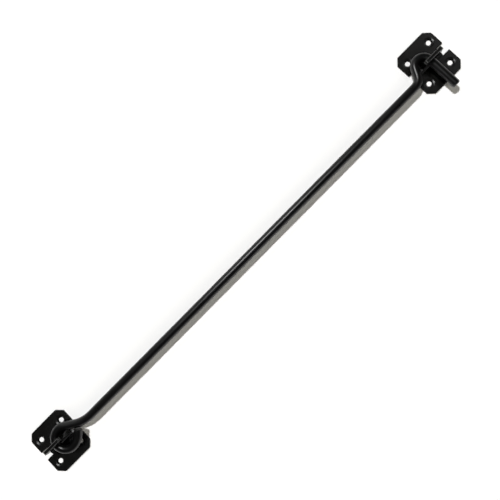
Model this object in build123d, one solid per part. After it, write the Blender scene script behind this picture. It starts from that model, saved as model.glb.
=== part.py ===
from build123d import *
import math
import os

# A long cabin hook: a round steel bar with an eye at one end and a prong at the other,
# held by two folded sheet plates.
# Millimetres. +X runs along the bar from the eye to the hook, the prong points to -Y, +Z is up.
# The origin is the centre of the eye plate's four screw holes, on its back face.

# Round bar
bar_dia = 10.0
hook_reach = 600.0          # from the eye plate's lug hole to the prong's axis
bar_setover = 5.0           # the straight bar lies this far to the -Y side of the eye plate's lug
prong_length = 39.8         # from the middle of the strike plate's lug to the prong's tip
prong_tip_round = 2.2
tail_tip_round = 0.5

# Sheet of the two plates
plate_length = 53.0         # along the bar
plate_width = 59.0          # across the bar
sheet = 2.0
corner_chamfer = 7.0
corner_round = 2.0
sheet_edge_break = 0.3      # the blank's upper edge is broken all round, but not in the notches

# Countersunk screw holes
screw_pitch_x = 33.0
screw_pitch_y = 33.0
screw_hole_dia = 5.5
countersink_land = 0.2      # straight wall left under the countersink
rim_width = 1.45            # the pressed rim round the countersink, where the sheet starts to dip
rim_depth = 0.35

# Lug: the middle of the sheet folded up double, with a hole for the bar
fold_radius = 2.8           # inside radius where the sheet turns up into the lug
fold_gap = 0.3              # slit between the two layers
notch_depth = 9.0           # cut in from each end of the plate, to free the two folds
notch_margin = 0.3          # how far the notches run past the start of the folds
lug_hole_play = 3.5         # how much wider the lug's hole is than the bar
lug_foot = 0.95             # flat sheet between the fold and the hole
lug_crown = 7.5             # sheet over the hole
lug_top_length = 24.6
lug_corner_round = 4.0
lug_outline_play = 0.01     # how far the cut outline of the lug's ends clears its crown

# Eye
eye_setover = 3.0           # the eye's centre lies this far to the -Y side of the lug
eye_room = 6.0              # from the lug's end to the far side of the eye
eye_flare = 4.5             # how much wider the eye's last quarter is bent
eye_tail_turn = 45.0        # where the eye's end leaves the curve and runs straight
eye_gap = 0.45              # between the eye's end and the bar
eye_neck_angle = 32.0
eye_neck_bend = 40.0

# Hook
hook_neck_angle = 62.0
hook_neck_bend = 13.0
hook_bend_setback = 1.0     # from the strike plate's lug to the centre of the hook's bend
hook_rise = 9.2             # from the straight bar's axis to the strike plate's lug
throat_clearance = 0.55     # between the lug's end and the hook's neck
strike_shift = 1.3          # the strike plate hangs off centre on the prong by this much

# Worked out from the sizes above
bar_radius = bar_dia / 2
lug_hole_dia = bar_dia + lug_hole_play
lug_half = sheet + fold_gap / 2
fold_start = lug_half + fold_radius
notch_half = fold_start + notch_margin
lug_hole_height = sheet + fold_radius + lug_foot + lug_hole_dia / 2
lug_height = lug_hole_height + lug_hole_dia / 2 + lug_crown
lug_base_half = plate_length / 2 - notch_depth
lug_top_half = lug_top_length / 2
lug_taper = (lug_base_half - lug_top_half) / lug_height
lug_end = lug_base_half - lug_taper * lug_hole_height
countersink_dia = screw_hole_dia + 2 * (sheet - countersink_land)

eye_radius = (lug_end + eye_room + bar_radius) / 2
# The bar crosses the lug at a slant, so the eye's centre is set to pass it through the middle of the hole
eye_outside = math.sqrt((eye_radius + bar_radius) ** 2 - (eye_setover - lug_half) ** 2)
eye_inside = math.sqrt((eye_radius - bar_radius) ** 2 - (eye_setover + lug_half) ** 2)
eye_centre = Vector((eye_outside + eye_inside) / 2, -eye_setover)
strike_lug_y = hook_rise - bar_setover
strike_centre = Vector(hook_reach + strike_shift, strike_lug_y)


def heading(angle):
    """Unit vector in the plane of the bar, at an angle from +X."""
    return Vector(math.cos(math.radians(angle)), math.sin(math.radians(angle)))


def hook_bend_radius():
    """Radius of the hook's bend, at the bar's axis, that lets the neck pass the lug's end."""
    slope = math.sin(math.radians(hook_neck_angle))
    cotangent = 1 / math.tan(math.radians(hook_neck_angle))
    reach = lug_end - strike_shift + throat_clearance
    room = reach + bar_radius / slope - (hook_bend_setback - lug_half) * cotangent
    return room / (1 + 1 / slope)


def bar_path():
    """Axis of the bar: eye, neck, straight run, neck, hook bend and prong, each tangent to the next."""
    neck_start = eye_centre + heading(90 - eye_neck_angle) * eye_radius
    tail_centre = eye_centre + Vector(0, eye_flare)
    tail_start = tail_centre + heading(eye_tail_turn - 90) * (eye_radius + eye_flare)

    # The straight end stops where its inner corner is the gap away from the neck
    neck_side = heading(-90 - eye_neck_angle)
    corner = tail_start + heading(eye_tail_turn + 90) * bar_radius - neck_start
    closing = -heading(eye_tail_turn).dot(neck_side)
    tail_length = (corner.dot(neck_side) - bar_radius - eye_gap) / closing
    tail_end = tail_start + heading(eye_tail_turn) * tail_length

    # Where the two necks' axes meet the straight bar's axis
    eye_fall = neck_start.Y + bar_setover
    eye_corner = Vector(neck_start.X + eye_fall / math.tan(math.radians(eye_neck_angle)), -bar_setover)
    eye_cutback = eye_neck_bend * math.tan(math.radians(eye_neck_angle / 2))
    bend = hook_bend_radius()
    bend_centre = Vector(hook_reach - bend, strike_lug_y + hook_bend_setback)
    bend_start = bend_centre + heading(90 + hook_neck_angle) * bend
    hook_fall = bend_start.Y + bar_setover
    hook_corner = Vector(bend_start.X - hook_fall / math.tan(math.radians(hook_neck_angle)), -bar_setover)
    hook_cutback = hook_neck_bend * math.tan(math.radians(hook_neck_angle / 2))

    with BuildLine() as path:
        Line(tail_end, tail_start)
        JernArc(tail_start, heading(eye_tail_turn + 180), eye_radius + eye_flare, -eye_tail_turn)
        JernArc(path.line @ 1, heading(180), eye_radius, -180 - eye_neck_angle)
        Line(neck_start, eye_corner - heading(-eye_neck_angle) * eye_cutback)
        JernArc(path.line @ 1, heading(-eye_neck_angle), eye_neck_bend, eye_neck_angle)
        Line(path.line @ 1, hook_corner - Vector(hook_cutback, 0))
        JernArc(path.line @ 1, heading(0), hook_neck_bend, hook_neck_angle)
        Line(path.line @ 1, bend_start)
        JernArc(bend_start, heading(hook_neck_angle), bend, -90 - hook_neck_angle)
        Line(path.line @ 1, (hook_reach, strike_lug_y - prong_length))
    return path.line.moved(Location((0, 0, lug_hole_height)))


def make_hook_bar():
    """The bar, bent cold from one length of round rod, with its two cut ends rounded over."""
    path = bar_path()
    section = Plane(path @ 0, z_dir=path % 0) * Circle(bar_radius)
    bar = sweep(section, path=path)
    for end, round_over in ((path @ 0, tail_tip_round), (path @ 1, prong_tip_round)):
        cut_face = bar.faces().filter_by(GeomType.PLANE).sort_by_distance(end)[0]
        bar = fillet(cut_face.edges(), round_over)
    return bar


def fold_section():
    """Section of the folded strip across the bar: flat, up into the lug, over its top and down again.

    It runs on past the notches into the flat sheet on both sides, by the sheet's thickness.
    """
    edge = notch_half + sheet
    turned = sheet + fold_radius
    crown = lug_height - lug_half
    slit = fold_gap / 2
    with BuildSketch(Plane.YZ) as section:
        with BuildLine():
            Line((-edge, 0), (-edge, sheet))
            Line((-edge, sheet), (-fold_start, sheet))
            RadiusArc((-fold_start, sheet), (-lug_half, turned), -fold_radius)
            Line((-lug_half, turned), (-lug_half, crown))
            RadiusArc((-lug_half, crown), (0, lug_height), lug_half)
            RadiusArc((0, lug_height), (lug_half, crown), lug_half)
            Line((lug_half, crown), (lug_half, turned))
            RadiusArc((lug_half, turned), (fold_start, sheet), -fold_radius)
            Line((fold_start, sheet), (edge, sheet))
            Line((edge, sheet), (edge, 0))
            Line((edge, 0), (fold_start, 0))
            RadiusArc((fold_start, 0), (slit, turned), turned)
            Line((slit, turned), (slit, crown))
            RadiusArc((slit, crown), (0, crown + slit), -slit)
            RadiusArc((0, crown + slit), (-slit, crown), -slit)
            Line((-slit, crown), (-slit, turned))
            RadiusArc((-slit, turned), (-fold_start, 0), turned)
            Line((-fold_start, 0), (-edge, 0))
        make_face()
    return section.sketch


def lug_outline():
    """Side view of the lug: narrower at the top, with rounded upper corners.

    It starts below the sheet and clears the crown of the fold by a hair, so that it cuts the ends only.
    """
    bottom = -sheet
    top = lug_height + lug_outline_play
    with BuildSketch(Plane.XZ) as outline:
        with BuildLine():
            Polyline(
                (-lug_base_half + lug_taper * bottom, bottom),
                (-lug_top_half, top),
                (lug_top_half, top),
                (lug_base_half - lug_taper * bottom, bottom),
                close=True,
            )
        make_face()
        fillet(outline.vertices().group_by(Axis.Z)[-1], lug_corner_round)
    return outline.sketch


def make_flats():
    """The flat sheet on both sides of the lug, with its upper edge broken and the middle cut out."""
    with BuildSketch() as outline:
        Rectangle(plate_length, plate_width)
        chamfer(outline.vertices(), corner_chamfer)
        fillet(outline.vertices(), corner_round)
    blank = extrude(outline.sketch, sheet)
    blank = chamfer(blank.edges().group_by(Axis.Z)[-1], sheet_edge_break)
    return blank - Box(2 * plate_length, 2 * notch_half, 4 * sheet)


def make_plate(centre):
    """One plate, blanked, countersunk and folded, with its lug's plane along X through the centre."""
    strip = extrude(fold_section(), plate_length, both=True)
    room_round_lug = Box(4 * plate_length, plate_width, 4 * lug_height)
    room_round_lug -= extrude(lug_outline(), plate_width, both=True)
    plate = make_flats() + (strip - room_round_lug)

    screw = Cylinder(screw_hole_dia / 2, 2 * sheet)
    sink = Pos(0, 0, sheet) * Rot(180, 0, 0) * Cone(
        countersink_dia / 2,
        screw_hole_dia / 2,
        sheet - countersink_land,
        align=(Align.CENTER, Align.CENTER, Align.MIN),
    )
    rim = Pos(0, 0, sheet) * Rot(180, 0, 0) * Cone(
        countersink_dia / 2 + rim_width,
        countersink_dia / 2 - rim_depth,
        rim_depth,
        align=(Align.CENTER, Align.CENTER, Align.MIN),
    )
    plate -= GridLocations(screw_pitch_x, screw_pitch_y, 2, 2) * (screw + sink + rim)

    bore = Pos(0, 0, lug_hole_height) * Rot(90, 0, 0) * Cylinder(lug_hole_dia / 2, 4 * lug_half)
    return (plate - bore).moved(Location((centre.X, centre.Y, 0)))


parts = {
    "eye_plate": make_plate(Vector(0, 0)),
    "hook_bar": make_hook_bar(),
    "strike_plate": make_plate(strike_centre),
}

os.makedirs("parts", exist_ok=True)
for name, part in parts.items():
    part.label = name
    export_step(part, f"parts/{name}.step")
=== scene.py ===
"""Looks of a long cabin hook: black coated steel bar and plates on a pale, softly lit table."""

import math
from typing import NamedTuple

import bpy
import numpy as np
from bpy.props import FloatProperty, FloatVectorProperty, PointerProperty
from mathutils import Matrix, Vector


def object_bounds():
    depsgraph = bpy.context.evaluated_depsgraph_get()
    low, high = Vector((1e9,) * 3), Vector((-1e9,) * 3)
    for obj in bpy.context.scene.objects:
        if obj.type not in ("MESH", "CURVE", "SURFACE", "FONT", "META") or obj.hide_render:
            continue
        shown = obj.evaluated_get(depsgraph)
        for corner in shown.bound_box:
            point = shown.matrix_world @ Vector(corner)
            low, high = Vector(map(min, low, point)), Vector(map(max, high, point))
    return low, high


bl_info = {
    "name": "Cabin Hook",
    "version": (1, 0, 0),
    "blender": (4, 5, 0),
    "location": "View3D > Sidebar > Cabin Hook",
    "description": "Coats a steel cabin hook and its plates and lights them on a pale table",
    "category": "Object",
}

BAR = "hook_bar"
PLATES = ("eye_plate", "strike_plate")
MM = 0.001
WHITE = (1, 1, 1)

# Coating
COATING_IOR = 1.46
PATCH_SIZE = 12 * MM            # width of the patches where the powder lay thicker or thinner
PATCH_LOW, PATCH_HIGH = 0.3, 0.7    # span of the patches' noise that the roughness follows
TONE_SWING = 0.2                # share by which the colour wanders from patch to patch
BAR_DULLING = 0.03              # how far the roughness wanders from patch to patch
PLATE_DULLING = 0.04
PEEL_STRENGTH, PEEL_HEIGHT = 0.3, 0.02 * MM
GRAIN_STRENGTH, GRAIN_HEIGHT = 0.2, 0.005 * MM

# Stage. Lengths are in metres.
TABLE_RINGS = 12
STAGE_SECTORS = 64
TABLE_BOUNCE = "#e6e6e6"        # the table's colour for the light that it throws back
WALL_HEIGHT = 6
WALL_WHITE_UP_TO = 1.8
WALL_DIM_FROM = 3.2
FILL_SPREAD = math.radians(60)
FILL_TILT = math.radians(-50)
NEAREST_VIEW = 0.01
SENSOR_WIDTH = 36               # millimetres
PICTURE_UP = (1, 1, 0)          # the direction on the table that points up in the picture

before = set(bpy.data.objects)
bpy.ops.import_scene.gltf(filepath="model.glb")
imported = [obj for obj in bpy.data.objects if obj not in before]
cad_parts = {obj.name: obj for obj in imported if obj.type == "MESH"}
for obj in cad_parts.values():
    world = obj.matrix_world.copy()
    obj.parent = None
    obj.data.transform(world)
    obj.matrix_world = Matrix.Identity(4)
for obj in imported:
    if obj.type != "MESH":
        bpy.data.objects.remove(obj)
cad_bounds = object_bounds()


def linear_colour(hex_code):
    """Linear RGB of an sRGB hex value.

    A channel up to 0.04045 is divided by 12.92. A brighter one has 0.055 added, is divided by
    1.055 and is raised to the power 2.4.
    """
    channels = [int(hex_code[i:i + 2], 16) / 255 for i in (1, 3, 5)]
    return tuple(c / 12.92 if c <= 0.04045 else ((c + 0.055) / 1.055) ** 2.4 for c in channels)


class CoatSettings(bpy.types.PropertyGroup):
    """Colours and texture of the two coatings."""

    bar_colour: FloatVectorProperty(
        name="Bar colour", description="Colour of the coating on the bar",
        subtype="COLOR", size=3, min=0, max=1, default=linear_colour("#060606"))
    plate_colour: FloatVectorProperty(
        name="Plate colour", description="Colour of the coating on the plates",
        subtype="COLOR", size=3, min=0, max=1, default=linear_colour("#090908"))
    bar_roughness: FloatProperty(
        name="Bar roughness", description="Roughness of the coating on the bar",
        subtype="FACTOR", min=0, max=1, default=0.30)
    plate_roughness: FloatProperty(
        name="Plate roughness", description="Roughness of the coating on the plates",
        subtype="FACTOR", min=0, max=1, default=0.21)
    peel_size: FloatProperty(
        name="Orange peel", description="Width of one wave of the coating's orange peel",
        subtype="DISTANCE", unit="LENGTH", min=0.0002, max=0.01, default=1.8 * MM)
    grain_size: FloatProperty(
        name="Grain", description="Width of one grain of the cured powder",
        subtype="DISTANCE", unit="LENGTH", min=0.00005, max=0.005, default=0.45 * MM)


class StageSettings(bpy.types.PropertyGroup):
    """Table, lamps and camera."""

    table_radius: FloatProperty(
        name="Table radius", description="Radius of the pale table under the hook",
        subtype="DISTANCE", unit="LENGTH", min=1, max=50, default=12.0)
    key_strength: FloatProperty(
        name="Key lamp", description="Strength of the lamp that casts the bar's shadow",
        min=0, max=10, default=2.7)
    key_tilt: FloatProperty(
        name="Key tilt", description="How far the key lamp leans from straight overhead",
        subtype="ANGLE", unit="ROTATION", min=0, max=math.pi / 2, default=math.radians(22))
    key_spread: FloatProperty(
        name="Key spread", description="Angle that the key lamp fills, which softens its shadow",
        subtype="ANGLE", unit="ROTATION", min=0, max=math.pi / 4, default=math.radians(4))
    fill_strength: FloatProperty(
        name="Fill lamp", description="Strength of the broad lamp that lifts the shadow",
        min=0, max=10, default=0.95)
    fill_colour: FloatVectorProperty(
        name="Fill colour", description="Colour of the broad lamp, which tints the shadow",
        subtype="COLOR", size=3, min=0, max=1, default=linear_colour("#fffaeb"))
    top_glow: FloatProperty(
        name="Top panel",
        description="Brightness of the small panel that draws the bar's highlight",
        min=0, max=50, default=35.0)
    plate_glow: FloatProperty(
        name="Plate panels",
        description="Brightness of the small panels that glint in the screw holes' rims",
        min=0, max=50, default=14.0)
    end_glow: FloatProperty(
        name="End panel",
        description="Brightness of the soft panel that shines in the strike plate's outer end",
        min=0, max=20, default=0.65)
    side_glow: FloatProperty(
        name="Side panel",
        description="Brightness of the soft panel beside the hook, white being 1",
        min=0, max=20, default=0.7)
    world_strength: FloatProperty(
        name="Room light", description="Strength of the even light from all round",
        min=0, max=2, default=0.06)
    camera_place: FloatVectorProperty(
        name="Camera", description="Where the camera stands",
        subtype="XYZ", unit="LENGTH", size=3, default=(0.3306, -0.0632, 0.650))
    camera_target: FloatVectorProperty(
        name="Target", description="The point of the table in the middle of the picture",
        subtype="XYZ", unit="LENGTH", size=3, default=(0.3104, -0.0006, 0.0))
    camera_roll: FloatProperty(
        name="Roll", description="How far the camera is turned about its own line of sight",
        subtype="ANGLE", unit="ROTATION", default=math.radians(-0.084))
    camera_focal: FloatProperty(
        name="Focal ratio", description="Focal length over the width of the picture",
        min=0.2, max=10, default=572.6 / 500)


def add_node(tree, kind, inputs=None, **settings):
    """Adds a node.

    Settings are its own properties, inputs its socket values or the sockets that feed them.
    """
    node = tree.nodes.new(kind)
    for name, value in settings.items():
        setattr(node, name, value)
    for name, value in (inputs or {}).items():
        if isinstance(value, bpy.types.NodeSocket):
            tree.links.new(value, node.inputs[name])
        else:
            node.inputs[name].default_value = value
    return node


def new_material(name):
    """An empty node material with its output, as (material, tree, output)."""
    material = bpy.data.materials.new(name)
    material.use_nodes = True
    tree = material.node_tree
    tree.nodes.clear()
    return material, tree, add_node(tree, "ShaderNodeOutputMaterial")


def coated_steel(name, colour, roughness, coat, dulling):
    """Black powder coating baked on steel: orange peel that breaks up a highlight, and fine grain.

    The peel is shallow waves a couple of millimetres wide. The real grain is about 0.05 mm, too
    fine to show, so it is drawn coarser. The roughness wanders by dulling to either side, and the
    colour by the tone swing, from patch to patch.
    """
    material, tree, output = new_material(name)
    place = add_node(tree, "ShaderNodeTexCoord").outputs["Object"]
    peel = add_node(tree, "ShaderNodeTexNoise",
                    {"Vector": place, "Scale": 1 / coat.peel_size,
                     "Detail": 2.0, "Roughness": 0.5})
    grain = add_node(tree, "ShaderNodeTexNoise",
                     {"Vector": place, "Scale": 1 / coat.grain_size,
                      "Detail": 1.0, "Roughness": 0.5})
    patches = add_node(tree, "ShaderNodeTexNoise",
                       {"Vector": place, "Scale": 1 / PATCH_SIZE,
                        "Detail": 3.0, "Roughness": 0.55})
    rough = add_node(tree, "ShaderNodeMapRange",
                     {"Value": patches.outputs["Fac"],
                      "From Min": PATCH_LOW, "From Max": PATCH_HIGH,
                      "To Min": roughness - dulling, "To Max": roughness + dulling})
    tone = add_node(tree, "ShaderNodeMix", {"Factor": patches.outputs["Fac"]}, data_type="RGBA")
    tone.inputs["A"].default_value = (*[c * (1 - TONE_SWING) for c in colour], 1)
    tone.inputs["B"].default_value = (*[c * (1 + TONE_SWING) for c in colour], 1)
    waves = add_node(tree, "ShaderNodeBump",
                     {"Height": peel.outputs["Fac"],
                      "Strength": PEEL_STRENGTH, "Distance": PEEL_HEIGHT})
    surface = add_node(tree, "ShaderNodeBump",
                       {"Height": grain.outputs["Fac"], "Normal": waves.outputs["Normal"],
                        "Strength": GRAIN_STRENGTH, "Distance": GRAIN_HEIGHT})
    shader = add_node(tree, "ShaderNodeBsdfPrincipled",
                      {"Base Color": tone.outputs["Result"], "Roughness": rough.outputs["Result"],
                       "IOR": COATING_IOR, "Metallic": 0.0, "Normal": surface.outputs["Normal"]})
    tree.links.new(shader.outputs["BSDF"], output.inputs["Surface"])
    return material


def coat_node(node, material):
    """Puts a finish in every slot of a CAD node."""
    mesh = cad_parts[node].data
    if not mesh.materials:
        mesh.materials.append(material)
    for index in range(len(mesh.materials)):
        mesh.materials[index] = material


class HOOK_OT_coat_bar(bpy.types.Operator):
    """Coats the bar with its smooth black finish"""

    bl_idname = "hook.coat_bar"
    bl_label = "Coat the Bar"

    def execute(self, context):
        coat = context.scene.hook_coat
        finish = coated_steel("black_coated_round_steel", coat.bar_colour, coat.bar_roughness,
                              coat, BAR_DULLING)
        coat_node(BAR, finish)
        return {"FINISHED"}


class HOOK_OT_coat_plates(bpy.types.Operator):
    """Coats both plates with their satin black finish"""

    bl_idname = "hook.coat_plates"
    bl_label = "Coat the Plates"

    def execute(self, context):
        coat = context.scene.hook_coat
        finish = coated_steel("black_coated_sheet_steel", coat.plate_colour, coat.plate_roughness,
                              coat, PLATE_DULLING)
        for node in PLATES:
            coat_node(node, finish)
        return {"FINISHED"}


def disc_mesh(name, radius, rings, sectors):
    """Flat disc whose rings crowd at the middle.

    Ring r of n lies at the radius times (r / n) squared, sector k of n at the angle 2 pi k / n.
    """
    reach = (np.arange(1, rings + 1) / rings) ** 2 * radius
    angle = np.arange(sectors) * 2 * math.pi / sectors
    grid = np.stack([np.outer(reach, np.cos(angle)), np.outer(reach, np.sin(angle)),
                     np.zeros((rings, sectors))], axis=-1)
    points = np.concatenate([np.zeros((1, 3)), grid.reshape(-1, 3)])
    index = 1 + np.arange(rings * sectors).reshape(rings, sectors)
    after = np.roll(index, -1, axis=1)
    fan = np.stack([np.zeros(sectors, int), index[0], after[0]], axis=1)
    quads = np.stack([index[:-1], index[1:], after[1:], after[:-1]], axis=-1).reshape(-1, 4)
    mesh = bpy.data.meshes.new(name)
    mesh.from_pydata(points.tolist(), [], fan.tolist() + quads.tolist())
    mesh.update()
    return mesh


def seen_ray(tree):
    """1 for the camera's own rays and for those that a mirror or glass sends on, 0 for the rest."""
    path = add_node(tree, "ShaderNodeLightPath")
    seen = add_node(tree, "ShaderNodeMath",
                    {0: path.outputs["Is Camera Ray"], 1: path.outputs["Is Glossy Ray"]},
                    operation="MAXIMUM")
    seen = add_node(tree, "ShaderNodeMath",
                    {0: seen.outputs[0], 1: path.outputs["Is Transmission Ray"]},
                    operation="MAXIMUM")
    return seen.outputs[0]


def table_material():
    """Matt white laminate: a plain pale surface that takes a shadow.

    The camera and mirror reflections see it white, and it throws less light back on the hook.
    """
    material, tree, output = new_material("matt_white_laminate")
    colour = add_node(tree, "ShaderNodeMix", {"Factor": seen_ray(tree)}, data_type="RGBA")
    colour.inputs["A"].default_value = (*linear_colour(TABLE_BOUNCE), 1)
    colour.inputs["B"].default_value = (*WHITE, 1)
    shader = add_node(tree, "ShaderNodeBsdfDiffuse", {"Color": colour.outputs["Result"]})
    tree.links.new(shader.outputs["BSDF"], output.inputs["Surface"])
    return material


def ring_wall_mesh(name, radius, height, sectors):
    """Upright ring: sector k of n stands at the angle 2 pi k / n, a point below and one on top."""
    angle = np.arange(sectors) * 2 * math.pi / sectors
    foot = np.stack([radius * np.cos(angle), radius * np.sin(angle), np.zeros(sectors)], axis=1)
    points = np.concatenate([foot, foot + np.array([0, 0, height])])
    index = np.arange(sectors)
    after = np.roll(index, -1)
    quads = np.stack([index, index + sectors, after + sectors, after], axis=1)
    mesh = bpy.data.meshes.new(name)
    mesh.from_pydata(points.tolist(), [], quads.tolist())
    mesh.update()
    return mesh


def wall_material(room_light):
    """Pale studio wall: white behind the table, fading upwards to the dim room.

    That is how it is seen and mirrored. To the light that falls on the hook it is no brighter
    than the room.
    """
    material, tree, output = new_material("pale_studio_wall")
    place = add_node(tree, "ShaderNodeTexCoord").outputs["Object"]
    height = add_node(tree, "ShaderNodeSeparateXYZ", {"Vector": place}).outputs["Z"]
    fade = add_node(tree, "ShaderNodeMapRange",
                    {"Value": height, "From Min": WALL_WHITE_UP_TO, "From Max": WALL_DIM_FROM,
                     "To Min": 1.0, "To Max": room_light},
                    interpolation_type="SMOOTHSTEP")
    glow = add_node(tree, "ShaderNodeMix", {"Factor": seen_ray(tree)}, data_type="FLOAT")
    glow.inputs["A"].default_value = room_light
    tree.links.new(fade.outputs["Result"], glow.inputs["B"])
    shader = add_node(tree, "ShaderNodeEmission", {"Strength": glow.outputs["Result"]})
    tree.links.new(shader.outputs["Emission"], output.inputs["Surface"])
    return material


def aim(lamp, place, target):
    """Stands a lamp at a place, facing a target."""
    lamp.location = place
    lamp.rotation_euler = (target - place).to_track_quat("-Z", "Y").to_euler()


def plain_sun(name, strength, colour, spread, tilt, centre):
    """A sun that casts shadows but shows in no highlight. It leans towards +Y by its tilt."""
    sun = bpy.data.lights.new(name, "SUN")
    sun.energy = strength
    sun.color = colour
    sun.angle = spread
    lamp = bpy.data.objects.new(name, sun)
    lamp.visible_glossy = False
    bpy.context.scene.collection.objects.link(lamp)
    aim(lamp, centre + Vector((0, math.sin(tilt), math.cos(tilt))), centre)


class LampPanel(NamedTuple):
    """A soft lamp panel, in metres.

    The point that it faces is given from the hook's middle, and its own place from that point.
    """

    name: str
    faces: tuple
    place: tuple
    width: float
    height: float
    glow: str                       # the stage setting that holds its brightness
    highlights_only: bool = False   # it shows in reflections and adds no other light
    plates_only: bool = False       # it shines on the plates alone


# Points that the panels face, from the hook's middle
HOOK_MIDDLE = (0, 0, 0)
EYE_PLATE = (-0.3, 0, 0)
STRIKE_PLATE = (0.3, 0, 0)
PANELS = (
    LampPanel("side_panel", HOOK_MIDDLE, (0, 1.55, 0.95), 1.1, 0.9, "side_glow"),
    LampPanel("top_panel", HOOK_MIDDLE, (0.045, 0.48, 1.1), 0.36, 0.2, "top_glow",
              highlights_only=True),
    LampPanel("eye_plate_glint", EYE_PLATE, (-0.12, 0.15, 1.0), 0.16, 0.16, "plate_glow",
              highlights_only=True, plates_only=True),
    LampPanel("strike_plate_glint", STRIKE_PLATE, (0.03, 0.23, 1.0), 0.16, 0.16, "plate_glow",
              highlights_only=True, plates_only=True),
    LampPanel("end_panel", STRIKE_PLATE, (0.74, 0.1, 1.0), 0.5, 0.5, "end_glow",
              highlights_only=True, plates_only=True),
)


def soft_panel(panel, centre, glow):
    """Hangs a panel whose face is as bright as glow, where white in full light is 1.

    Its power is glow times pi times the area of its face.
    """
    light = bpy.data.lights.new(panel.name, "AREA")
    light.shape = "RECTANGLE"
    light.size, light.size_y = panel.width, panel.height
    light.energy = glow * math.pi * panel.width * panel.height
    lamp = bpy.data.objects.new(panel.name, light)
    lamp.visible_diffuse = not panel.highlights_only
    bpy.context.scene.collection.objects.link(lamp)
    target = centre + Vector(panel.faces)
    aim(lamp, target + Vector(panel.place), target)
    return lamp


def hang_lamps(stage):
    """Hangs the two suns and the panels round the middle of the hook."""
    centre = (cad_bounds[0] + cad_bounds[1]) / 2
    plain_sun("key", stage.key_strength, WHITE, stage.key_spread, stage.key_tilt, centre)
    plain_sun("fill", stage.fill_strength, stage.fill_colour, FILL_SPREAD, FILL_TILT, centre)
    plates = bpy.data.collections.new("plates_only")
    for node in PLATES:
        plates.objects.link(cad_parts[node])
    for panel in PANELS:
        lamp = soft_panel(panel, centre, getattr(stage, panel.glow))
        if panel.plates_only:
            lamp.light_linking.receiver_collection = plates


def set_world(strength):
    """Even grey light from all round."""
    world = bpy.data.worlds.new("even_room")
    bpy.context.scene.world = world
    world.use_nodes = True
    world.node_tree.nodes.clear()
    background = add_node(world.node_tree, "ShaderNodeBackground",
                          {"Color": (*WHITE, 1), "Strength": strength})
    output = add_node(world.node_tree, "ShaderNodeOutputWorld")
    world.node_tree.links.new(background.outputs["Background"], output.inputs["Surface"])


def set_camera(stage):
    """A camera that looks down on the hook, with the bar from lower left to upper right.

    Its lens is the sensor's width times the focal ratio.
    """
    data = bpy.data.cameras.new("camera")
    data.sensor_fit = "HORIZONTAL"
    data.sensor_width = SENSOR_WIDTH
    data.lens = SENSOR_WIDTH * stage.camera_focal
    data.clip_start = NEAREST_VIEW
    camera = bpy.data.objects.new("camera", data)
    bpy.context.scene.collection.objects.link(camera)
    place, target = Vector(stage.camera_place), Vector(stage.camera_target)
    back = (place - target).normalized()
    right = Vector(PICTURE_UP).cross(back).normalized()
    up = back.cross(right)
    upright = Matrix((right, up, back)).transposed() @ Matrix.Rotation(stage.camera_roll, 3, "Z")
    camera.matrix_world = Matrix.Translation(place) @ upright.to_4x4()
    bpy.context.scene.camera = camera


class HOOK_OT_set_stage(bpy.types.Operator):
    """Lays the table, lights it and sets up the camera"""

    bl_idname = "hook.set_stage"
    bl_label = "Set the Stage"

    def execute(self, context):
        stage = context.scene.hook_stage
        table_mesh = disc_mesh("table", stage.table_radius, TABLE_RINGS, STAGE_SECTORS)
        table = bpy.data.objects.new("table", table_mesh)
        table.data.materials.append(table_material())
        context.scene.collection.objects.link(table)
        wall_mesh = ring_wall_mesh("wall", stage.table_radius, WALL_HEIGHT, STAGE_SECTORS)
        wall = bpy.data.objects.new("wall", wall_mesh)
        wall.data.materials.append(wall_material(stage.world_strength))
        wall.visible_shadow = False
        context.scene.collection.objects.link(wall)
        hang_lamps(stage)
        set_world(stage.world_strength)
        set_camera(stage)
        context.scene.view_settings.view_transform = "Standard"
        return {"FINISHED"}


class HOOK_PT_sidebar(bpy.types.Panel):
    """Sizes and colours of the hook's finish and stage"""

    bl_idname = "HOOK_PT_sidebar"
    bl_label = "Cabin Hook"
    bl_space_type = "VIEW_3D"
    bl_region_type = "UI"
    bl_category = "Cabin Hook"

    def draw(self, context):
        for settings in (context.scene.hook_coat, context.scene.hook_stage):
            for name in settings.__annotations__:
                self.layout.prop(settings, name)
        for operator in OPERATORS:
            self.layout.operator(operator.bl_idname)


OPERATORS = (HOOK_OT_coat_bar, HOOK_OT_coat_plates, HOOK_OT_set_stage)
CLASSES = (CoatSettings, StageSettings, *OPERATORS, HOOK_PT_sidebar)


def register():
    """Registers the classes and hangs the settings on the scene."""
    for cls in CLASSES:
        bpy.utils.register_class(cls)
    bpy.types.Scene.hook_coat = PointerProperty(type=CoatSettings)
    bpy.types.Scene.hook_stage = PointerProperty(type=StageSettings)


def unregister():
    """Takes the settings and the classes away again."""
    del bpy.types.Scene.hook_stage
    del bpy.types.Scene.hook_coat
    for cls in reversed(CLASSES):
        bpy.utils.unregister_class(cls)


def main():
    register()
    bpy.ops.hook.coat_bar()
    bpy.ops.hook.coat_plates()
    bpy.ops.hook.set_stage()


if __name__ == "__main__":
    main()
